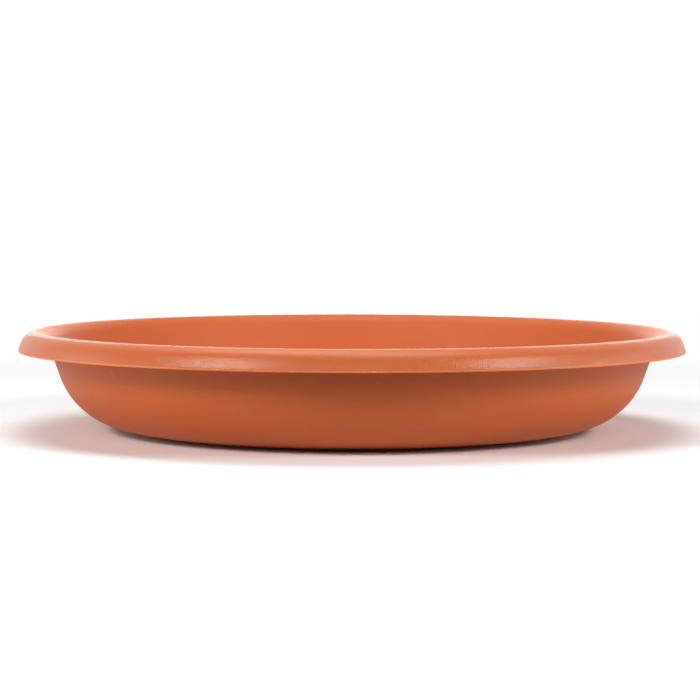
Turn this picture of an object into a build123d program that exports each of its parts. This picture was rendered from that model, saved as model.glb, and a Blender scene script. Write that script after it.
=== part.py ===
from build123d import *
import os
from math import cos, radians, sin, sqrt, tan

# Plant saucer: one thin moulded shell, round about the Z axis, with a rolled rim.
# Millimetres and degrees. Z is up, and the origin is the middle of the foot on the ground.
# The wall has one thickness all over, so the dish side runs parallel to the underside.

# Overall
lip_diameter = 406.0    # across the outermost edge of the skirt
height = 61.5           # from the ground to the top of the rim
wall = 1.8              # moulded wall thickness

# Rolled rim: the side turns over a round crest into a short skirt, open below
crest_radius = 9.3      # outer radius of the roll
lip_drop = 12.1         # from the top of the rim down to the lower edge of the skirt
skirt_slope = 19.6      # lean of the skirt outwards, from the vertical

# Bowl: a broad heel curve leaves the ground, a tighter one turns up into a straight side
heel_radius = 150.0     # outside radius of the heel curve
heel_angle = 12.6       # turn of the heel curve, from the horizontal
side_slope = 70.6       # slope of the straight side, from the horizontal
side_length = 22.1      # straight stretch of the side below the rim

# Foot: a flat ring on the ground, with the floor inside it raised
foot_width = 6.0        # width of the ring that touches the ground
foot_recess = 1.2       # how far the floor inside the ring is lifted off the ground
foot_step_slope = 45.0  # slope of the step between the ring and the lifted floor

# Ribs that hold a pot clear of the water: level tops, with a ramp down to the floor at each end
rib_count = 12
rib_width = 2.6         # at the lifted floor
rib_height = 3.0        # above the lifted floor
rib_inner_radius = 38.0  # where the inner ramp meets the lifted floor
rib_reach = 12.0        # how far each rib runs out past the foot, onto the heel curve
rib_ramp_slope = 40.0   # slope of the ramps, from the horizontal
rib_ramp_round = 4.0    # curve between a ramp and the level top
rib_draft = 2.0         # draft of the rib's sides

# Gate mark: the stub left at the middle of the underside, short of the ground
gate_diameter = 4.5
gate_height = 0.6
gate_draft = 15.0

# Rim, worked out so that the skirt ends at the lip's diameter and at its drop
lip_radius = lip_diameter / 2
edge_radius = wall / 2
roll_radius = crest_radius - edge_radius
skirt = radians(skirt_slope)
skirt_length = (lip_drop - crest_radius - edge_radius + roll_radius * sin(skirt)) / cos(skirt)
crest_center_x = lip_radius - edge_radius - roll_radius * cos(skirt) - skirt_length * sin(skirt)
crest_center_z = height - crest_radius
crest_turn = side_slope + 90 - skirt_slope

# Bowl, worked out so that each curve meets the next without a corner
side = radians(side_slope)
heel = radians(heel_angle)
under_crest_radius = crest_radius - wall
heel_rise = heel_radius * (1 - cos(heel))
side_top = crest_center_z + under_crest_radius * cos(side)
bowl_radius = (side_top - side_length * sin(side) - heel_rise) / (cos(heel) - cos(side))
bowl_run = bowl_radius * (sin(side) - sin(heel)) + side_length * cos(side)
foot_radius = crest_center_x - under_crest_radius * sin(side) - bowl_run - heel_radius * sin(heel)

# Foot and ribs, worked out from the foot's edge
recess_radius = foot_radius - foot_width
step_run = foot_recess / tan(radians(foot_step_slope))
step_shift = wall * tan(radians(foot_step_slope / 2))
floor_top = foot_recess + wall
rib_outer_radius = foot_radius + rib_reach
rib_top = floor_top + rib_height
rib_base = heel_radius - sqrt(heel_radius**2 - rib_reach**2) + edge_radius
rib_start = rib_inner_radius - (floor_top - rib_base) / tan(radians(rib_ramp_slope))
rib_ramp_run = (rib_top - rib_base) / tan(radians(rib_ramp_slope))
rib_edge_round = rib_width / 4


def skin(inset):
    """Draw the shell's line from the foot's edge to the end of the skirt.

    inset is the distance from the underside: zero for the underside itself, and the
    wall's thickness for the dish side. Returns the skirt's line."""
    heel_arc = JernArc((foot_radius, inset), (1, 0), heel_radius - inset, heel_angle)
    bowl_arc = JernArc(heel_arc @ 1, heel_arc % 1, bowl_radius - inset, side_slope - heel_angle)
    side_line = Line(bowl_arc @ 1, (bowl_arc @ 1) + (bowl_arc % 1) * side_length)
    crest_arc = JernArc(side_line @ 1, side_line % 1, under_crest_radius + inset, -crest_turn)
    return Line(crest_arc @ 1, (crest_arc @ 1) + (crest_arc % 1) * skirt_length)


# One rib, along the X axis: its ends start inside the wall, so that it grows out of the floor
with BuildPart() as rib:
    with BuildSketch(Plane.XZ) as rib_side:
        with BuildLine():
            Polyline(
                (rib_start, rib_base),
                (rib_start + rib_ramp_run, rib_top),
                (rib_outer_radius - rib_ramp_run, rib_top),
                (rib_outer_radius, rib_base),
                close=True,
            )
        make_face()
        fillet(rib_side.vertices().group_by(Axis.Y)[-1], radius=rib_ramp_round)
    extrude(amount=rib_width / 2, both=True)
    flanks = rib.faces().sort_by(Axis.Y)
    draft([flanks[0], flanks[-1]], neutral_plane=Plane.XY.offset(floor_top), angle=rib_draft)
    flanks = rib.faces().sort_by(Axis.Y)
    flank_edges = flanks[0].edges() + flanks[-1].edges()
    fillet(flank_edges.sort_by(Axis.Z)[2:], radius=rib_edge_round)

with BuildPart() as saucer:
    # The shell, with its underside still flat inside the foot
    with BuildSketch(Plane.XZ):
        with BuildLine():
            Line((0, 0), (foot_radius, 0))
            under_skirt = skin(0)
            JernArc(under_skirt @ 1, under_skirt % 1, edge_radius, 180)
            skin(wall)
            FilletPolyline(
                (foot_radius, wall),
                (recess_radius + step_shift, wall),
                (recess_radius + step_shift - step_run, floor_top),
                (0, floor_top),
                radius=foot_recess,
            )
            Line((0, floor_top), (0, 0))
        make_face()
    revolve(axis=Axis.Z)

    # The ribs, the first one along the X axis
    with PolarLocations(0, rib_count):
        add(rib.part)

    # The hollow under the floor leaves the foot ring standing
    with BuildSketch(Plane.XY):
        Circle(recess_radius)
    extrude(amount=foot_recess, taper=foot_step_slope, mode=Mode.SUBTRACT)

    # The gate mark hangs from the lifted floor
    with BuildSketch(Plane.XY.offset(foot_recess)):
        Circle(gate_diameter / 2)
    extrude(amount=-gate_height, taper=gate_draft)

saucer.part.label = "saucer"

os.makedirs("parts", exist_ok=True)
export_step(saucer.part, "parts/saucer.step")

print(f"foot diameter {2 * foot_radius:.1f}, bowl radius {bowl_radius:.1f}, skirt {skirt_length:.1f}")
print(f"rib tops {rib_top:.1f} above the ground, from radius {rib_inner_radius} to {rib_outer_radius:.1f}")
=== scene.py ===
# %% [markdown]
# A plastic plant saucer
#
# The saucer is one injection-moulded shell of terracotta-coloured polypropylene. Its CAD model
# is packed already and is loaded here as a fixed frame. This lesson builds the skin that the eye
# sees: the same shell with finer curves and softer corners, the finish that a mould leaves on
# plastic, and a plain white studio around it.

# %% Load the frame
from math import asin, atan2, cos, pi, radians, sin, sqrt, tan

import bmesh
import bpy
from mathutils import Matrix, Vector


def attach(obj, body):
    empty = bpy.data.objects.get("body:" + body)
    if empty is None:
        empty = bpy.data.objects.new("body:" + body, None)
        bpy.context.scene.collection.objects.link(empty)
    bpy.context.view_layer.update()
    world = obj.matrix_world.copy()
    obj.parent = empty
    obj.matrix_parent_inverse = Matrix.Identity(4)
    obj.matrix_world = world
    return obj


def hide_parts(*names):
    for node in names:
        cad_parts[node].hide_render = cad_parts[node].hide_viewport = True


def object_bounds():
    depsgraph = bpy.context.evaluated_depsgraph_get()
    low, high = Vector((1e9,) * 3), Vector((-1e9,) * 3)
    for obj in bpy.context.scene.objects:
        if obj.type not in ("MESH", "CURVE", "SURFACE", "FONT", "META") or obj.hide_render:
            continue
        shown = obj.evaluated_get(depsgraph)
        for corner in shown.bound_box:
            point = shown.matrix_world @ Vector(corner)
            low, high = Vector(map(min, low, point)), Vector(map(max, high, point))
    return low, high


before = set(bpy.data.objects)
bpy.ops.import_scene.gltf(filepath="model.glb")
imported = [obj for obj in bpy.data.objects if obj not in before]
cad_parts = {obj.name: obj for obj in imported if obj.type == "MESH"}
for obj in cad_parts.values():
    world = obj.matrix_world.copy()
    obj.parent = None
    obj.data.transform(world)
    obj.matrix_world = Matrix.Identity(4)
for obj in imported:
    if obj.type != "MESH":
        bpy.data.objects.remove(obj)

cad_low, cad_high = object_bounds()
print("CAD box in metres", [round(side, 4) for side in cad_high - cad_low])

# %% [markdown]
# Sizes
#
# The two overall sizes are read from the frame, so the skin can't drift away from the CAD
# model. The others are the mould's own sizes, in millimetres times `MM`, because Blender works
# in metres. Its angles are in radians.

# %% Sizes of the moulding
MM = 0.001
lip_radius = (cad_high.x - cad_low.x) / 2
height = cad_high.z - cad_low.z
wall = 1.8 * MM
crest_radius = 9.3 * MM
lip_drop = 12.1 * MM
skirt_slope = radians(19.6)
heel_radius = 150 * MM
heel_angle = radians(12.6)
side_slope = radians(70.6)
side_length = 22.1 * MM
foot_width = 6 * MM
foot_recess = 1.2 * MM
step_slope = radians(45)

print(f"lip radius {lip_radius / MM:.2f} mm, height {height / MM:.2f} mm")

# %% [markdown]
# Some sizes follow from the others. The skirt has to end at the lip's radius and drop, the
# bowl's curve has to run smoothly from the heel into the straight side, and the foot starts
# where that chain of curves comes down to the ground.

# %% Sizes that follow
edge_radius = wall / 2
roll_radius = crest_radius - edge_radius
skirt_drop = lip_drop - crest_radius - edge_radius + roll_radius * sin(skirt_slope)
skirt_length = skirt_drop / cos(skirt_slope)
skirt_run = skirt_length * sin(skirt_slope)
crest_centre = lip_radius - edge_radius - roll_radius * cos(skirt_slope) - skirt_run
crest_turn = side_slope + pi / 2 - skirt_slope
under_crest_radius = crest_radius - wall

side_top = height - crest_radius + under_crest_radius * cos(side_slope)
heel_rise = heel_radius * (1 - cos(heel_angle))
bowl_rise = side_top - side_length * sin(side_slope) - heel_rise
bowl_radius = bowl_rise / (cos(heel_angle) - cos(side_slope))
bowl_run = bowl_radius * (sin(side_slope) - sin(heel_angle)) + side_length * cos(side_slope)
heel_run = heel_radius * sin(heel_angle)
foot_radius = crest_centre - under_crest_radius * sin(side_slope) - bowl_run - heel_run
recess_radius = foot_radius - foot_width
floor_top = foot_recess + wall
print(f"foot radius {foot_radius / MM:.2f} mm, bowl radius {bowl_radius / MM:.2f} mm")

# %% [markdown]
# The section
#
# A round moulding is fully described by half of its section. It could be spun with the Screw
# modifier, but the ribs on its floor would then need a second mesh that cuts into the first.
# Here the section is a line of points, and a node tree spins it and lifts the ribs out of the
# same skin, so the shell stays one closed surface.
#
# A small pen walks along the section. It goes straight or turns through an arc, and drops a
# point at each step, so a tight corner gets short steps and a flat floor long ones.


# %% A pen that walks along a section
class Pen:
    """Walks in a plane, across and up, and keeps each point that it comes to."""

    def __init__(self, across, up):
        self.heading = 0
        self.points = [Vector((across, up))]

    def ahead(self, length, steps=1):
        """Go straight on."""
        stride = Vector((cos(self.heading), sin(self.heading))) * length / steps
        for _ in range(steps):
            self.points.append(self.points[-1] + stride)

    def turn(self, radius, angle, steps):
        """Go along an arc. A positive angle turns left, a negative one right."""
        reach = radius if angle > 0 else -radius
        centre = self.points[-1] + reach * Vector((-sin(self.heading), cos(self.heading)))
        for _ in range(steps):
            self.heading += angle / steps
            self.points.append(centre + reach * Vector((sin(self.heading), -cos(self.heading))))

    def arc_to(self, end, steps):
        """Go along the one arc that leaves straight ahead and ends at a point."""
        way = end - self.points[-1]
        bend = atan2(way.y, way.x) - self.heading
        self.turn(way.length / (2 * sin(abs(bend))), 2 * bend, steps)

    def slant(self, angle, drop, first_round, second_round, steps):
        """Leave a level line at an angle, and come to another one that far below or above."""
        rounds = (first_round + second_round) * tan(abs(angle) / 2)
        self.turn(first_round, angle, steps)
        self.ahead(drop / sin(abs(angle)) - rounds)
        self.turn(second_round, -angle, steps)


# %% [markdown]
# The wall has one thickness all over, so the underside and the dish side are parallel. One
# function walks either of them from the foot's edge up and over the crest: `inset` is the
# distance from the underside. The mould's own small corners are rounded too, because a sharp
# edge catches no light and looks drawn.
#
# At the end of the skirt the two halves of the mould meet. They leave a narrow upright land
# there, with tighter corners than a plain rounded edge, and it draws a fine line of light along
# the whole lip, made brighter by a glow painted into its colour further down.


# %% Walk the underside
def rise_over_crest(pen, inset, heel_steps, roll, roll_steps):
    """Heel, bowl, side and crest. heel_steps are shares of the heel's turn, each with its steps."""
    for part, steps in heel_steps:
        pen.turn(heel_radius - inset, heel_angle * part, steps)
    pen.turn(bowl_radius - inset, side_slope - heel_angle, steps=22)
    pen.ahead(side_length, steps=6)
    pen.turn(under_crest_radius + inset, -roll, roll_steps)


gate_radius = 2.25 * MM
gate_height = 0.6 * MM
gate_flank = radians(75)
mould_round = 0.2 * MM
step_round = 0.4 * MM
lip_corner = 0.35 * MM

under = Pen(0, foot_recess - gate_height)
under.ahead(gate_radius - (gate_height / tan(gate_flank)) - mould_round * tan(gate_flank / 2))
under.slant(gate_flank, gate_height, mould_round, mould_round, steps=4)
step_start = recess_radius - foot_recess / tan(step_slope) - step_round * tan(step_slope / 2)
under.ahead(step_start - under.points[-1].x, steps=6)
under.slant(-step_slope, foot_recess, step_round, step_round, steps=4)
under.ahead(foot_radius - under.points[-1].x, steps=3)
rise_over_crest(under, inset=0, heel_steps=[(1, 8)], roll=crest_turn, roll_steps=20)
under.ahead(skirt_length, steps=2)

under.turn(edge_radius, pi / 2 - skirt_slope, steps=5)
under.ahead(edge_radius - lip_corner)
under.turn(lip_corner, pi / 2, steps=5)
land_top = edge_radius * (sin(skirt_slope) - (1 - cos(skirt_slope)) / tan(skirt_slope))
under.ahead(edge_radius - lip_corner + land_top)
print(f"underside: {len(under.points)} points, ends at radius {under.points[-1].x / MM:.2f} mm")

# %% [markdown]
# The dish side is walked the same way, from the middle of its floor outwards. Its rows are
# closer together where the ribs start and end, because the ribs' ramps are cut by these rows.
# The crest doesn't end in a flat cone: it fades down the skirt in one long arc, which spreads
# the highlights there, and meets the top of the land.

# %% Walk the dish side
rib_count = 12
rib_width = 2.6 * MM
rib_height = 3 * MM
rib_draft = radians(2)
rib_inner_radius = 38 * MM
rib_reach = 12 * MM
rib_ramp_slope = radians(40)
rib_ramp_round = 4 * MM

dish_step_round = foot_recess
ramp_zone = 8 * MM
beside_ramp = 1.5 * MM
row_step = 0.5 * MM
heel_near = asin((rib_reach + beside_ramp) / (heel_radius - wall)) / heel_angle
skirt_bow = radians(3.5)

dish = Pen(0, floor_top)
dish.ahead(rib_inner_radius - beside_ramp, steps=5)
dish.ahead(ramp_zone, steps=round(ramp_zone / row_step))
step_start = recess_radius + wall * tan(step_slope / 2) - foot_recess / tan(step_slope)
dish.ahead(step_start - dish_step_round * tan(step_slope / 2) - dish.points[-1].x, steps=5)
dish.slant(-step_slope, foot_recess, dish_step_round, dish_step_round, steps=5)
dish.ahead(foot_radius - dish.points[-1].x, steps=2)
heel_parts = [(heel_near, 24), (1 - heel_near, 6)]
rise_over_crest(dish, wall, heel_parts, roll=crest_turn - skirt_bow, roll_steps=34)
dish.arc_to(under.points[-1], steps=6)
skirt_sag = skirt_length / 2 * tan(skirt_bow / 2)
print(f"dish side: {len(dish.points)} points, the skirt bows by {skirt_sag / MM:.2f} mm")

# %% [markdown]
# The ribs
#
# Twelve low ribs hold the pot clear of the water. Each has a level top and a ramp at both ends,
# so seen from the side its top is a line over the floor. For every row of the section that line
# gives one number, the `lift`: how far a rib stands above the skin there.


# %% Lift of the ribs along the section
rib_top = floor_top + rib_height
rib_base = heel_radius - sqrt(heel_radius**2 - rib_reach**2) + edge_radius
rib_start = rib_inner_radius - (floor_top - rib_base) / tan(rib_ramp_slope)
rib_end = foot_radius + rib_reach
ramp_run = (rib_top - rib_base) / tan(rib_ramp_slope) + rib_ramp_round * tan(rib_ramp_slope / 2)


def rib_lift(point):
    """How far the top of a rib stands above a point of the dish side."""
    run = min(point.x - rib_start, rib_end - point.x)
    before_level = ramp_run - run
    if before_level <= 0:
        top = rib_top
    elif before_level < rib_ramp_round * sin(rib_ramp_slope):
        top = rib_top - rib_ramp_round + sqrt(rib_ramp_round**2 - before_level**2)
    else:
        top = rib_base + run * tan(rib_ramp_slope)
    return max(0, top - point.y)


lifts = [0] * len(under.points) + [rib_lift(point) for point in reversed(dish.points[:-1])]
print(f"ribs lift {sum(lift > 0 for lift in lifts)} rows, by {max(lifts) / MM:.2f} mm at most")

# %% [markdown]
# The columns of the mesh crowd together at each rib, so that its narrow sides get their own
# faces. Out on the rim nothing is narrow, and the columns spread evenly again. The number
# `gather` says for each row how much they crowd: 1 on the floor, falling to 0 on the bowl.

# %% Gather of the columns along the section
gather_rise = 20 * MM
floor_rise = 5 * MM


def gather_share(point):
    """1 at the height of the floor, 0 from the gather rise upwards, eased in between."""
    share = min(1, max(0, (gather_rise - point.y) / (gather_rise - floor_rise)))
    return share * share * (3 - 2 * share)


gathers = [0] * len(under.points) + [gather_share(point) for point in reversed(dish.points[:-1])]
section = under.points + list(reversed(dish.points[:-1]))
print(f"section: {len(section)} points")

# %% [markdown]
# Across a rib the same pen walks from the middle of its top, over a rounded edge and down a
# drafted side to a soft root. The walk is kept as distance from the rib's middle and share of
# its height, so the node tree can scale it down along the ramps.

# %% Walk across half a rib
rib_edge_round = rib_width / 4
rib_root_round = 0.8 * MM
side_fall = pi / 2 - rib_draft

across = Pen(0, rib_height)
across.ahead(rib_width / 2 - rib_height * tan(rib_draft) - rib_edge_round * tan(side_fall / 2))
across.slant(-side_fall, rib_height, rib_edge_round, rib_root_round, steps=4)
across.ahead(rib_root_round / 2)
half_rib = [Vector((point.x, point.y / rib_height)) for point in across.points]
print(f"half a rib: {len(half_rib)} points, {half_rib[-1].x / MM:.2f} mm to its root")

# %% [markdown]
# Both walks become meshes of loose points, which a node tree can read. The section's points
# carry the two numbers as attributes.


# %% Points as meshes
def point_object(name, points, **attributes):
    """An object of loose points at (x, 0, y), with float attributes."""
    mesh = bpy.data.meshes.new(name)
    mesh.from_pydata([(point.x, 0, point.y) for point in points], [], [])
    for key, values in attributes.items():
        mesh.attributes.new(key, "FLOAT", "POINT").data.foreach_set("value", values)
    made = bpy.data.objects.new(name, mesh)
    bpy.context.scene.collection.objects.link(made)
    return made


lathe = point_object("section_points", section, lift=lifts, gather=gathers)
rib_points = point_object("rib_points", half_rib)
print(lathe.name, len(lathe.data.vertices), rib_points.name, len(rib_points.data.vertices))

# %% [markdown]
# The node tree
#
# One small function adds a node: it sets the node's settings, links sockets or fills in values,
# and gives back the node's first output, because that is what the next node mostly needs.


# %% One function that adds a node
def add(tree, kind, inputs=None, output=0, **settings):
    """Add a node with its settings, link or fill its inputs, and give one of its outputs."""
    node = tree.nodes.new(kind)
    for name, value in settings.items():
        setattr(node, name, value)
    for key, value in (inputs or {}).items():
        if isinstance(value, bpy.types.NodeSocket):
            tree.links.new(value, node.inputs[key])
        else:
            node.inputs[key].default_value = value
    return node.outputs[output] if node.outputs else node


# %% [markdown]
# The tree's inputs are named sizes, so the modifier shows them as a maker would ask for them:
# how many ribs, how many columns between two ribs, and where the ribs begin.

# %% Inputs of the tree
spin = bpy.data.node_groups.new("spin_with_ribs", "GeometryNodeTree")
spin.is_modifier = True
sockets = {}
for name, kind in {
    "Section": "NodeSocketGeometry",
    "Half rib": "NodeSocketObject",
    "Ribs": "NodeSocketInt",
    "Columns in half a gap": "NodeSocketInt",
    "Narrowest radius": "NodeSocketFloat",
    "Material": "NodeSocketMaterial",
}.items():
    sockets[name] = spin.interface.new_socket(name, in_out="INPUT", socket_type=kind)
spin.interface.new_socket("Saucer", in_out="OUTPUT", socket_type="NodeSocketGeometry")
given = add(spin, "NodeGroupInput").node.outputs
print("inputs:", [socket.name for socket in given if socket.name])

# %% [markdown]
# A flat grid becomes the shell. Each of its rows stands for one point of the section, and each
# column for one direction round the axis. The index of a grid point gives both.

# %% Rows and columns
half_rib_mesh = add(spin, "GeometryNodeObjectInfo", {"Object": given["Half rib"]}, "Geometry")
rows = add(spin, "GeometryNodeAttributeDomainSize", {"Geometry": given["Section"]}, "Point Count")
rib_rows = add(spin, "GeometryNodeAttributeDomainSize", {"Geometry": half_rib_mesh}, "Point Count")
last_rib_row = add(spin, "FunctionNodeIntegerMath", {0: rib_rows, 1: 1}, operation="SUBTRACT")
half = add(spin, "FunctionNodeIntegerMath", {0: last_rib_row, 1: given["Columns in half a gap"]})
period = add(spin, "FunctionNodeIntegerMath", {0: half, 1: 2}, operation="MULTIPLY")
columns = add(
    spin, "FunctionNodeIntegerMath", {0: period, 1: given["Ribs"], 2: 1}, operation="MULTIPLY_ADD"
)
grid = add(spin, "GeometryNodeMeshGrid", {"Vertices X": rows, "Vertices Y": columns})
index = add(spin, "GeometryNodeInputIndex")
row = add(spin, "FunctionNodeIntegerMath", {0: index, 1: columns}, operation="DIVIDE_FLOOR")
column = add(spin, "FunctionNodeIntegerMath", {0: index, 1: columns}, operation="MODULO")
print(f"{len(section)} rows, one for each point of the section")

# %% [markdown]
# Sample Index looks things up in another geometry. It gives each row its radius, height, lift
# and gather from the section.

# %% Look up the row
position = add(spin, "GeometryNodeInputPosition")
lift_value = add(spin, "GeometryNodeInputNamedAttribute", {"Name": "lift"})
gather_value = add(spin, "GeometryNodeInputNamedAttribute", {"Name": "gather"})
from_section = {"Geometry": given["Section"], "Index": row}
row_place = add(
    spin, "GeometryNodeSampleIndex", {"Value": position, **from_section}, data_type="FLOAT_VECTOR"
)
lift = add(spin, "GeometryNodeSampleIndex", {"Value": lift_value, **from_section})
gather = add(spin, "GeometryNodeSampleIndex", {"Value": gather_value, **from_section})
radius = add(spin, "ShaderNodeSeparateXYZ", {"Vector": row_place}, "X")
rise = radius.node.outputs["Z"]
print("each row knows its radius, height, lift and gather")

# %% [markdown]
# Columns repeat with every rib, and each period is its own mirror image. So a column is first
# folded: it counts from the middle of the nearest rib to the middle of the gap. Up to the rib's
# root, a folded column has a point of the half rib, and past it only a share of the gap.

# %% Fold the column
in_period = add(spin, "FunctionNodeIntegerMath", {0: column, 1: period}, operation="MODULO")
rib_number = add(spin, "FunctionNodeIntegerMath", {0: column, 1: period}, operation="DIVIDE_FLOOR")
past_middle = add(spin, "FunctionNodeIntegerMath", {0: in_period, 1: half}, operation="SUBTRACT")
from_middle = add(spin, "FunctionNodeIntegerMath", {0: past_middle}, operation="ABSOLUTE")
folded = add(spin, "FunctionNodeIntegerMath", {0: half, 1: from_middle}, operation="SUBTRACT")
rib_row = add(spin, "FunctionNodeIntegerMath", {0: folded, 1: last_rib_row}, operation="MINIMUM")
rib_place = add(
    spin,
    "GeometryNodeSampleIndex",
    {"Geometry": half_rib_mesh, "Value": position, "Index": rib_row},
    data_type="FLOAT_VECTOR",
)
across_rib = add(spin, "ShaderNodeSeparateXYZ", {"Vector": rib_place}, "X")
rib_share = across_rib.node.outputs["Z"]
past_rib = add(spin, "FunctionNodeIntegerMath", {0: folded, 1: rib_row}, operation="SUBTRACT")
gap_columns_given = given["Columns in half a gap"]
gap_share = add(spin, "ShaderNodeMath", {0: past_rib, 1: gap_columns_given}, operation="DIVIDE")
print("a folded column is a point of the half rib or a share of the gap")

# %% [markdown]
# A rib has parallel sides, so a column that follows it turns by the arcsine of its distance
# over the radius. Nearer the middle than the ribs begin, the angle stays as it is there.
# `gather` mixes these crowded columns with evenly spread ones.

# %% Turn the column
widened = add(spin, "ShaderNodeMath", {0: radius, 1: given["Narrowest radius"]}, operation="MAXIMUM")
slope_to_rib = add(spin, "ShaderNodeMath", {0: across_rib, 1: widened}, operation="DIVIDE")
rib_turn = add(spin, "ShaderNodeMath", {0: slope_to_rib}, operation="ARCSINE")
half_turn = add(spin, "ShaderNodeMath", {0: pi, 1: given["Ribs"]}, operation="DIVIDE")
crowded = add(spin, "ShaderNodeMix", {"Factor": gap_share, "A": rib_turn, "B": half_turn})
half_share = add(spin, "ShaderNodeMath", {0: folded, 1: half}, operation="DIVIDE")
even = add(spin, "ShaderNodeMath", {0: half_share, 1: half_turn}, operation="MULTIPLY")
mixed = add(spin, "ShaderNodeMix", {"Factor": gather, "A": even, "B": crowded})
print("columns crowd at the ribs by the row's gather")

# %% [markdown]
# Unfolding mirrors the angle back into the second half of the period, and adds the turns of
# the ribs before it.

# %% Unfold the column
left = add(spin, "ShaderNodeMath", {0: half_turn, 1: mixed}, operation="SUBTRACT")
way = add(spin, "FunctionNodeIntegerMath", {0: past_middle}, operation="SIGN")
middle = add(spin, "ShaderNodeMath", {0: rib_number, 1: 2, 2: 1}, operation="MULTIPLY_ADD")
base = add(spin, "ShaderNodeMath", {0: middle, 1: half_turn}, operation="MULTIPLY")
angle = add(spin, "ShaderNodeMath", {0: way, 1: left, 2: base}, operation="MULTIPLY_ADD")
risen = add(spin, "ShaderNodeMath", {0: lift, 1: rib_share, 2: rise}, operation="MULTIPLY_ADD")
in_section = add(spin, "ShaderNodeCombineXYZ", {"X": radius, "Z": risen})
spun = add(
    spin, "ShaderNodeVectorRotate", {"Vector": in_section, "Angle": angle}, rotation_type="Z_AXIS"
)
print("each grid point has its place on the shell")

# %% [markdown]
# Set Position bends the grid into the shell. Its first and last columns then lie on each other,
# and so do all the points at the two middles. Merge by Distance closes that seam and both
# poles. A grid's faces look along its own Z, which here is into the plastic, so they are
# flipped.

# %% Close the shell
weld = 0.001 * MM
bent = add(spin, "GeometryNodeSetPosition", {"Geometry": grid, "Position": spun})
welded = add(spin, "GeometryNodeMergeByDistance", {"Geometry": bent, "Distance": weld})
outward = add(spin, "GeometryNodeFlipFaces", {"Mesh": welded})
smooth = add(spin, "GeometryNodeSetShadeSmooth", {"Geometry": outward})
real = add(spin, "GeometryNodeRealizeInstances", {"Geometry": smooth})
dressed = add(spin, "GeometryNodeSetMaterial", {"Geometry": real, "Material": given["Material"]})
add(spin, "NodeGroupOutput", {"Saucer": dressed})
print(f"{len(spin.nodes)} nodes in the tree")

# %% [markdown]
# A modifier runs the tree on the section's points. Its inputs are set by each socket's
# identifier. The evaluated result is then taken as a plain mesh, because the finished piece
# should need no helper objects.

# %% Spin the shell
gap_columns = 5
plastic = bpy.data.materials.new("moulded_terracotta_polypropylene")
spinning = lathe.modifiers.new("spin", "NODES")
spinning.node_group = spin
for name, value in {
    "Half rib": rib_points,
    "Ribs": rib_count,
    "Columns in half a gap": gap_columns,
    "Narrowest radius": rib_start,
    "Material": plastic,
}.items():
    spinning[sockets[name].identifier] = value
depsgraph = bpy.context.evaluated_depsgraph_get()
shell = bpy.data.meshes.new_from_object(lathe.evaluated_get(depsgraph), depsgraph=depsgraph)
shell.name = "saucer_moulding"
# the new mesh starts with an empty slot, which no face uses
shell.materials.pop(index=0)
for helper in (lathe, rib_points):
    bpy.data.objects.remove(helper)
saucer = bpy.data.objects.new("saucer_moulding", shell)
bpy.context.scene.collection.objects.link(saucer)
used = {face.material_index for face in shell.polygons}
print(f"{len(shell.vertices)} vertices, {len(shell.polygons)} faces")
print(f"slots {shell.materials.keys()}, used {used}")

# %% [markdown]
# A closed mesh has no open edges, and its volume is positive when its faces look outwards. The
# CAD solid holds 315 cm3 of plastic, and the skin should agree with it.

# %% Measure the shell
measured = bmesh.new()
measured.from_mesh(shell)
open_edges = sum(not edge.is_manifold for edge in measured.edges)
triangles = sum(len(face.verts) - 2 for face in measured.faces)
volume = measured.calc_volume(signed=True)
measured.free()
print(f"{open_edges} open edges, {triangles} triangles, {volume * 1e6:.1f} cm3 of plastic")

# %% [markdown]
# The plastic
#
# Colours are written as sRGB hex, as a paint chart gives them, and one function turns them to
# the linear values that shaders work in.


# %% Colours
def colour(code):
    """Linear red, green, blue and alpha of an sRGB hex colour."""
    parts = [int(code[at:at + 2], 16) / 255 for at in (1, 3, 5)]
    linear = [
        part / 12.92 if part <= 0.04045 else ((part + 0.055) / 1.055) ** 2.4
        for part in parts
    ]
    return linear + [1]


pigment_deep = colour("#be5b28")
pigment_light = colour("#c6612a")
print("deep terracotta in linear values", [round(part, 3) for part in pigment_deep])

# %% [markdown]
# The real material is polypropylene with a terracotta pigment, moulded against a finely
# blasted steel mould. Polypropylene has an index of refraction of about 1.49. The blasted mould
# leaves a satin skin: broad soft highlights with a fine grain in them, and no sharp mirror
# image.
#
# The patterns read Object coordinates, which are metres on this piece, so a noise whose bumps
# are `size` apart has the scale `1 / size`. Some marks need the distance from the axis and the
# way around it too, so these are worked out first.

# %% Places on the plastic
plastic.use_nodes = True
finish = plastic.node_tree
finish.nodes.clear()
spot = add(finish, "ShaderNodeTexCoord", output="Object")
x = add(finish, "ShaderNodeSeparateXYZ", {"Vector": spot}, "X")
y, z = x.node.outputs["Y"], x.node.outputs["Z"]
level_spot = add(finish, "ShaderNodeCombineXYZ", {"X": x, "Y": y})
from_axis = add(finish, "ShaderNodeVectorMath", {0: level_spot}, "Value", operation="LENGTH")
turn = add(finish, "ShaderNodeMath", {0: y, 1: x}, operation="ARCTAN2")
around = add(finish, "ShaderNodeMath", {0: turn, 1: lip_radius}, operation="MULTIPLY")
print("a spot on the plastic knows its place, its height and its way around the rim")

# %% [markdown]
# The blasted mould prints a fine grain on the plastic. It could be modelled, but its bumps are
# far smaller than the faces of the mesh, so a Bump node tilts the normals that the shader sees.
# A much wider noise does the same for the slow waves of a large thin wall that cooled unevenly.

# %% Grain and waves
# the real grain is about 0.2 mm, drawn coarser so that it shows
grain_size = 0.8 * MM
grain_depth = 0.16 * MM
grain = add(finish, "ShaderNodeTexNoise", {"Vector": spot, "Scale": 1 / grain_size, "Detail": 1})
grained = add(finish, "ShaderNodeBump", {"Height": grain, "Strength": 1, "Distance": grain_depth})

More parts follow.
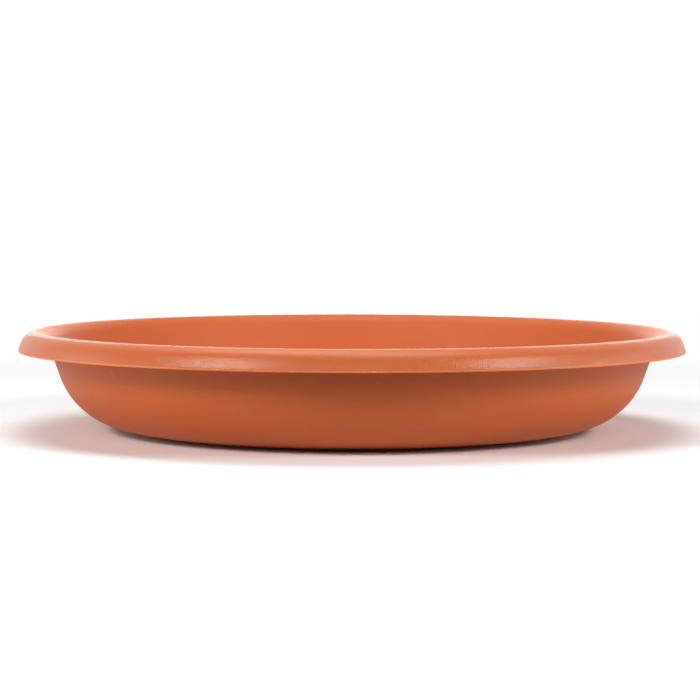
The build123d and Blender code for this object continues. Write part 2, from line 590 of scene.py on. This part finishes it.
wave_size = 45 * MM
wave_depth = 0.1 * MM
waves = add(finish, "ShaderNodeTexNoise", {"Vector": spot, "Scale": 1 / wave_size, "Detail": 0})
relief = add(finish, "ShaderNodeBump", {"Height": waves, "Distance": wave_depth, "Normal": grained})
print(f"grain {grain_size / MM:.1f} mm, waves {wave_size / MM:.0f} mm")

# %% [markdown]
# The pigment isn't perfectly mixed: it drifts from the gate at the middle outwards, as faint
# clouds a few centimetres wide. A Mix node blends the two colours by a noise. Its sockets for
# colours come after those for numbers and vectors, so they are called by their places.

# %% Drift of the pigment
first_colour = 6
second_colour = 7
mixed_colour = 2
cloud_size = 60 * MM
clouds = add(finish, "ShaderNodeTexNoise", {"Vector": spot, "Scale": 1 / cloud_size, "Detail": 3})
pigment = add(
    finish,
    "ShaderNodeMix",
    {"Factor": clouds, first_colour: pigment_deep, second_colour: pigment_light},
    mixed_colour,
    data_type="RGBA",
)
print("pigment drifts between two near colours")

# %% [markdown]
# The lip's land is trimmed after moulding. Its colour is painted paler than the rest: a painted glow
# that stands in for the light which the thin edge catches from the floor and lets through. The
# trimming blade leaves tiny nicks, which a noise can draw as paler spots: Map Range keeps only its
# highest bumps, as a share from 0 to 1, and the two colours are mixed by that share.

# %% Painted glow on the lip
nick_size = 1.5 * MM
nicks_from = 0.64
nicks_full = 0.76
# painted glow: paler colours that stand in for the light the thin lip catches and lets through
painted_glow_clean = colour("#e27843")
painted_glow_nicked = colour("#f0a27a")
nicks = add(finish, "ShaderNodeTexNoise", {"Vector": spot, "Scale": 1 / nick_size, "Detail": 2})
nicked = add(
    finish, "ShaderNodeMapRange", {"Value": nicks, "From Min": nicks_from, "From Max": nicks_full}
)
painted_glow_colour = add(
    finish,
    "ShaderNodeMix",
    {"Factor": nicked, first_colour: painted_glow_clean, second_colour: painted_glow_nicked},
    mixed_colour,
    data_type="RGBA",
)
print(f"nicks {nick_size / MM:.1f} mm apart")

# %% [markdown]
# Map Range does the same for a place. The land is the part of the skin that is low enough and
# far enough from the axis, so one share from the height and one from the distance are multiplied.

# %% Where the lip's glow is painted
land_middle = height - lip_drop + edge_radius + land_top
land_fade = 0.25 * MM
below_land = add(
    finish,
    "ShaderNodeMapRange",
    {"Value": z, "From Min": land_middle + land_fade, "From Max": land_middle},
)
on_land = add(
    finish,
    "ShaderNodeMapRange",
    {"Value": from_axis, "From Min": lip_radius - edge_radius, "From Max": lip_radius - lip_corner},
)
# share of the land, which gets the painted glow colour and the blade's roughness
painted_glow_and_cut_land = add(finish, "ShaderNodeMath", {0: below_land, 1: on_land}, operation="MULTIPLY")
body_colour = add(
    finish,
    "ShaderNodeMix",
    {"Factor": painted_glow_and_cut_land, first_colour: pigment, second_colour: painted_glow_colour},
    mixed_colour,
    data_type="RGBA",
)
print(f"paler below {land_middle / MM:.1f} mm")

# %% [markdown]
# Stacked saucers rub each other's rims while they are carried. The scuffs run around the rim as
# fine pale lines, and a stretched noise makes them: long bumps around the rim, and short ones up
# and down.

# %% Fine lines around the rim
scuff_length = 30 * MM
scuff_width = 0.7 * MM
lines_from = 0.55
lines_full = 0.7
long_way = add(finish, "ShaderNodeMath", {0: around, 1: scuff_length}, operation="DIVIDE")
short_way = add(finish, "ShaderNodeMath", {0: z, 1: scuff_width}, operation="DIVIDE")
stretched = add(finish, "ShaderNodeCombineXYZ", {"X": long_way, "Y": short_way})
lines = add(finish, "ShaderNodeTexNoise", {"Vector": stretched, "Scale": 1, "Detail": 1})
in_lines = add(
    finish, "ShaderNodeMapRange", {"Value": lines, "From Min": lines_from, "From Max": lines_full}
)
print(f"lines {scuff_length / MM:.0f} mm long and {scuff_width / MM:.1f} mm apart")

# %% [markdown]
# The lines show only where two rims have touched: out on the rim, low on the skirt, here mostly
# at the right, and in a few patches. Each of these is a share from 0 to 1, and all of them
# multiplied say how scuffed a spot is.

# %% Where the rim is scuffed
rim_start = 190 * MM
rim_full = 198 * MM
rubbed_from = 60 * MM
rubbed_full = 130 * MM
rubbed_top = 56 * MM
rubbed_low = 53 * MM
patch_size = 50 * MM
patches_from = 0.4
patches_full = 0.55
patches = add(finish, "ShaderNodeTexNoise", {"Vector": spot, "Scale": 1 / patch_size, "Detail": 0})
on_rim, on_right, low_down, in_patch = [
    add(finish, "ShaderNodeMapRange", {"Value": value, "From Min": none_at, "From Max": full_at})
    for value, none_at, full_at in (
        (from_axis, rim_start, rim_full),
        (x, rubbed_from, rubbed_full),
        (z, rubbed_top, rubbed_low),
        (patches, patches_from, patches_full),
    )
]
scuffed = in_lines
for share in (in_patch, on_rim, on_right, low_down):
    scuffed = add(finish, "ShaderNodeMath", {0: scuffed, 1: share}, operation="MULTIPLY")
print(f"scuffs below {rubbed_top / MM:.0f} mm, in patches {patch_size / MM:.0f} mm apart")

# %% [markdown]
# Rubbed plastic looks paler, because its many fine scratches scatter the light. The pale colour
# is mixed in only a little, so that the scuffs stay faint.

# %% Colour of the scuffs
scuff_strength = 0.35
scuff_pale = colour("#e8a383")
scuff_shade = add(finish, "ShaderNodeMath", {0: scuffed, 1: scuff_strength}, operation="MULTIPLY")
rubbed_colour = add(
    finish,
    "ShaderNodeMix",
    {"Factor": scuff_shade, first_colour: body_colour, second_colour: scuff_pale},
    mixed_colour,
    data_type="RGBA",
)
print(f"the pale colour is mixed in by {scuff_strength:.0%} at most")

# %% [markdown]
# One longer scratch runs down the side at the left, where something sharp has slid past. It is
# a thin straight band between two points, seen from the front. Two dot products measure how far
# a spot lies along that line, and how far beside it.

# %% Line of the scratch
scratch_top = Vector((-137 * MM, 46.5 * MM))
scratch_end = Vector((-132.5 * MM, 37.5 * MM))
run = scratch_end - scratch_top
run_way = run.normalized()
down_run = (run_way.x, 0, run_way.y)
over_run = (run_way.y, 0, -run_way.x)
past_top = add(finish, "ShaderNodeVectorMath", {0: spot, 1: (-scratch_top.x, 0, -scratch_top.y)})
along = add(
    finish, "ShaderNodeVectorMath", {0: past_top, 1: down_run}, "Value", operation="DOT_PRODUCT"
)
beside = add(
    finish, "ShaderNodeVectorMath", {0: past_top, 1: over_run}, "Value", operation="DOT_PRODUCT"
)
off_line = add(finish, "ShaderNodeMath", {0: beside}, operation="ABSOLUTE")
off_middle = add(finish, "ShaderNodeMath", {0: along, 1: run.length / 2}, operation="SUBTRACT")
off_middle = add(finish, "ShaderNodeMath", {0: off_middle}, operation="ABSOLUTE")
print(f"scratch {run.length / MM:.0f} mm long")

# %% [markdown]
# Both distances become shares again, and the scratch fades out towards its ends. The band goes
# straight through the saucer to its far side, so a third share keeps the scratch in front.

# %% Colour of the scratch
scratch_width = 0.4 * MM
scratch_strength = 0.15
scratch_pale = colour("#f0b79c")
on_line = add(
    finish,
    "ShaderNodeMapRange",
    {"Value": off_line, "From Min": scratch_width, "From Max": 0, "To Max": scratch_strength},
)
in_run = add(
    finish,
    "ShaderNodeMapRange",
    {"Value": off_middle, "From Min": run.length / 2, "From Max": run.length / 4},
)
in_front = add(finish, "ShaderNodeMath", {0: y, 1: 0}, operation="LESS_THAN")
scratched = add(finish, "ShaderNodeMath", {0: on_line, 1: in_run}, operation="MULTIPLY")
scratched = add(finish, "ShaderNodeMath", {0: scratched, 1: in_front}, operation="MULTIPLY")
worn_colour = add(
    finish,
    "ShaderNodeMix",
    {"Factor": scratched, first_colour: rubbed_colour, second_colour: scratch_pale},
    mixed_colour,
    data_type="RGBA",
)
print(f"the pale colour is mixed in by {scratch_strength:.0%} at most")

# %% [markdown]
# The rim's face in the mould was polished finer than the rest, so the rim is glossier than the
# dish and the side. Scuffs make it a little rougher again, and so does the blade on the land.
#
# The index of refraction says how much a flawless skin would reflect. A blasted skin loses part
# of that in its own pits, so the specular level stays below the usual 0.5.

# %% Sheen and shader
side_roughness = 0.54
rim_roughness = 0.28
scuff_roughness = 0.1
trim_roughness = 0.25
refraction = 1.49
specular_level = 0.36
satin = add(
    finish,
    "ShaderNodeMapRange",
    {"Value": on_rim, "To Min": side_roughness, "To Max": rim_roughness},
)
cut = add(
    finish, "ShaderNodeMath", {0: painted_glow_and_cut_land, 1: trim_roughness, 2: satin}, operation="MULTIPLY_ADD"
)
sheen = add(
    finish, "ShaderNodeMath", {0: scuffed, 1: scuff_roughness, 2: cut}, operation="MULTIPLY_ADD"
)
shader = add(
    finish,
    "ShaderNodeBsdfPrincipled",
    {
        "Base Color": worn_colour,
        "Roughness": sheen,
        "IOR": refraction,
        "Specular IOR Level": specular_level,
        "Normal": relief,
    },
)
add(finish, "ShaderNodeOutputMaterial", {"Surface": shader})
print(f"{len(finish.nodes)} nodes in {plastic.name}")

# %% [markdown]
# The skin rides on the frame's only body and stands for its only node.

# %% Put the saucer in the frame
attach(saucer, "root")
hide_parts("saucer")

# %% [markdown]
# The studio
#
# The saucer stands on a wide white sweep. Near it, the floor is a real white surface that takes
# shadows and a blush of red light from the plastic. Further out, and only for the camera and
# for reflections, the floor melts into plain white, so that no horizon shows.


# %% Floor
def plane(name, half_side, level):
    """A square sheet, centred on the axis."""
    mesh = bpy.data.meshes.new(name)
    signs = [(-1, -1), (1, -1), (1, 1), (-1, 1)]
    corners = [(aside * half_side, deep * half_side, level) for aside, deep in signs]
    mesh.from_pydata(corners, [], [(0, 1, 2, 3)])
    made = bpy.data.objects.new(name, mesh)
    bpy.context.scene.collection.objects.link(made)
    return made


# wide enough that its far edge lies beyond the plain white
floor_half_side = 12
# a hair under the foot, so that the two faces don't lie in one plane
foot_gap = 0.02 * MM
floor = plane("studio_floor", floor_half_side, -foot_gap)
print("floor", floor.dimensions.x, "m wide")

# %% [markdown]
# The light that bounces back up to the plastic comes off a sheet of white paper. It is wide to
# both sides of the saucer and ends soon in front of it, with a duller table around it: that
# keeps the side dark in its middle and pale at both ends.

# %% Paper on a table
# shares of the light that come back
paper_white = 0.95
table_grey = 0.12
# distances from the axis, in metres, and how much narrower they count from side to side
paper_full = 0.18
paper_end = 0.3
paper_narrowing = 0.45

paper = bpy.data.materials.new("white_paper_sweep")
paper.use_nodes = True
sweep = paper.node_tree
sweep.nodes.clear()
floor.data.materials.append(paper)

floor_spot = add(sweep, "ShaderNodeTexCoord", output="Object")
squeeze = (paper_narrowing, 1, 1)
narrowed = add(sweep, "ShaderNodeVectorMath", {0: floor_spot, 1: squeeze}, operation="MULTIPLY")
off_paper = add(sweep, "ShaderNodeVectorMath", {0: narrowed}, "Value", operation="LENGTH")
bounce = add(
    sweep,
    "ShaderNodeMapRange",
    {
        "Value": off_paper,
        "From Min": paper_full,
        "From Max": paper_end,
        "To Min": paper_white,
        "To Max": table_grey,
    },
    interpolation_type="SMOOTHSTEP",
)
bounced = add(sweep, "ShaderNodeBsdfDiffuse", {"Color": bounce})
print(f"paper out to {paper_end} m in front and {paper_end / paper_narrowing:.2f} m at the sides")

# %% [markdown]
# Light Path tells which kind of ray asks. Near the saucer only the camera is shown a perfectly
# white floor, with the shadow that falls on it. All other rays meet the paper and the table.

# %% Floor near the saucer
white = colour("#ffffff")
ray = add(sweep, "ShaderNodeLightPath", output="Is Camera Ray").node.outputs
near_floor = add(sweep, "ShaderNodeBsdfDiffuse", {"Color": white})
near = add(sweep, "ShaderNodeMixShader", {0: ray["Is Camera Ray"], 1: bounced, 2: near_floor})
print("paper for the bounced light, white for the camera")

# %% [markdown]
# Further out the camera and reflections see the floor as plain white, with a strength of 1.

# %% Floor far out
plain_from = 0.4
plain_full = 0.8
distance = add(sweep, "ShaderNodeVectorMath", {0: floor_spot}, "Value", operation="LENGTH")
far = add(
    sweep,
    "ShaderNodeMapRange",
    {"Value": distance, "From Min": plain_from, "From Max": plain_full},
    interpolation_type="SMOOTHSTEP",
)
seen = ray["Is Camera Ray"]
for kind in ("Is Glossy Ray", "Is Transmission Ray"):
    seen = add(sweep, "ShaderNodeMath", {0: seen, 1: ray[kind]}, operation="ADD", use_clamp=True)
plain = add(sweep, "ShaderNodeEmission", {"Color": white, "Strength": 1})
seen_plain = add(sweep, "ShaderNodeMath", {0: far, 1: seen}, operation="MULTIPLY")
swept = add(sweep, "ShaderNodeMixShader", {0: seen_plain, 1: near, 2: plain})
add(sweep, "ShaderNodeOutputMaterial", {"Surface": swept})
print(f"{len(sweep.nodes)} nodes in {paper.name}")

# %% [markdown]
# The world is the white room behind the lamps. The camera and reflections see it as white, and
# it fills the shadows with a little of that.

# %% World
fill_level = 0.03
room = bpy.data.worlds.new("white_room")
bpy.context.scene.world = room
room.use_nodes = True
air = room.node_tree
air.nodes.clear()
ray = add(air, "ShaderNodeLightPath", output="Is Camera Ray").node.outputs
seen = ray["Is Camera Ray"]
for kind in ("Is Glossy Ray", "Is Transmission Ray"):
    seen = add(air, "ShaderNodeMath", {0: seen, 1: ray[kind]}, operation="ADD", use_clamp=True)
level = add(air, "ShaderNodeMapRange", {"Value": seen, "To Min": fill_level, "To Max": 1})
backdrop = add(air, "ShaderNodeBackground", {"Color": white, "Strength": level})
add(air, "ShaderNodeOutputWorld", {"Surface": backdrop})
print(f"the room fills shadows at {fill_level}")

# %% [markdown]
# Seven softboxes light the saucer. A wide one hangs overhead, a little behind, and leaves the
# side under the rim in shade. One low at the back draws the pale line on the near crest. Two
# small ones, left and right of the camera, put their highlights on the skirt, and a wide weak
# one between them fills in. Two low ones at the sides reach under the rim.
#
# A square lamp that faces a white card from distance d lights it to a level of 1 with about
# pi squared times d squared watts, so each lamp is given the level that it should bring.


# %% Softboxes
def softbox(name, azimuth, elevation, away, width, tall, level):
    """A rectangular lamp that faces the saucer, at degrees round from the camera's side and up."""
    lamp = bpy.data.lights.new(name, "AREA")
    lamp.shape = "RECTANGLE"
    lamp.size = width
    lamp.size_y = tall
    lamp.energy = level * pi**2 * away**2
    made = bpy.data.objects.new(name, lamp)
    bearing = radians(azimuth)
    climb = radians(elevation)
    out = Vector((sin(bearing) * cos(climb), -cos(bearing) * cos(climb), sin(climb)))
    facing = out.to_track_quat("Z", "Y").to_matrix().to_4x4()
    made.matrix_world = Matrix.Translation(out * away) @ facing
    made.visible_camera = False
    bpy.context.scene.collection.objects.link(made)
    print(f"{name}: {lamp.energy:.1f} W for a level of {level}")


softbox("overhead_softbox", azimuth=-135, elevation=87, away=1.5, width=0.9, tall=1.6, level=0.66)
softbox("back_softbox", azimuth=180, elevation=12, away=1.8, width=1.2, tall=0.7, level=0.33)
softbox("front_left_softbox", azimuth=-44, elevation=28.5, away=1.6, width=0.52, tall=0.32, level=0.435)
softbox("front_right_softbox", azimuth=54, elevation=28.5, away=1.6, width=0.52, tall=0.32, level=0.38)
softbox("front_softbox", azimuth=0, elevation=21, away=1.8, width=1.5, tall=0.4, level=0.14)
softbox("low_left_softbox", azimuth=-84, elevation=8, away=1.6, width=1.5, tall=0.7, level=0.32)
softbox("low_right_softbox", azimuth=86, elevation=8, away=1.6, width=1.5, tall=0.7, level=0.3)

# %% [markdown]
# The camera
#
# The photograph was taken with a long lens from just above the rim. The camera is in front of
# the saucer, seven lip radii away, and looks down by less than four degrees.

# %% Camera
camera_distance = 1.421
camera_height = 0.1391
camera_aside = -0.0013
look_down = radians(3.638)
camera_roll = radians(0.119)
lens_length = 119.2

lens = bpy.data.cameras.new("camera")
lens.lens = lens_length
camera = bpy.data.objects.new("camera", lens)
camera.matrix_world = (
    Matrix.Translation((camera_aside, -camera_distance, camera_height))
    @ Matrix.Rotation(pi / 2 - look_down, 4, "X")
    @ Matrix.Rotation(camera_roll, 4, "Z")
)
bpy.context.scene.collection.objects.link(camera)
bpy.context.scene.camera = camera
print(f"lens {lens.lens:.0f} mm at {camera_distance} m")

# %% [markdown]
# The Standard view shows colours as they are written.

# %% Finish
bpy.context.scene.view_settings.view_transform = "Standard"
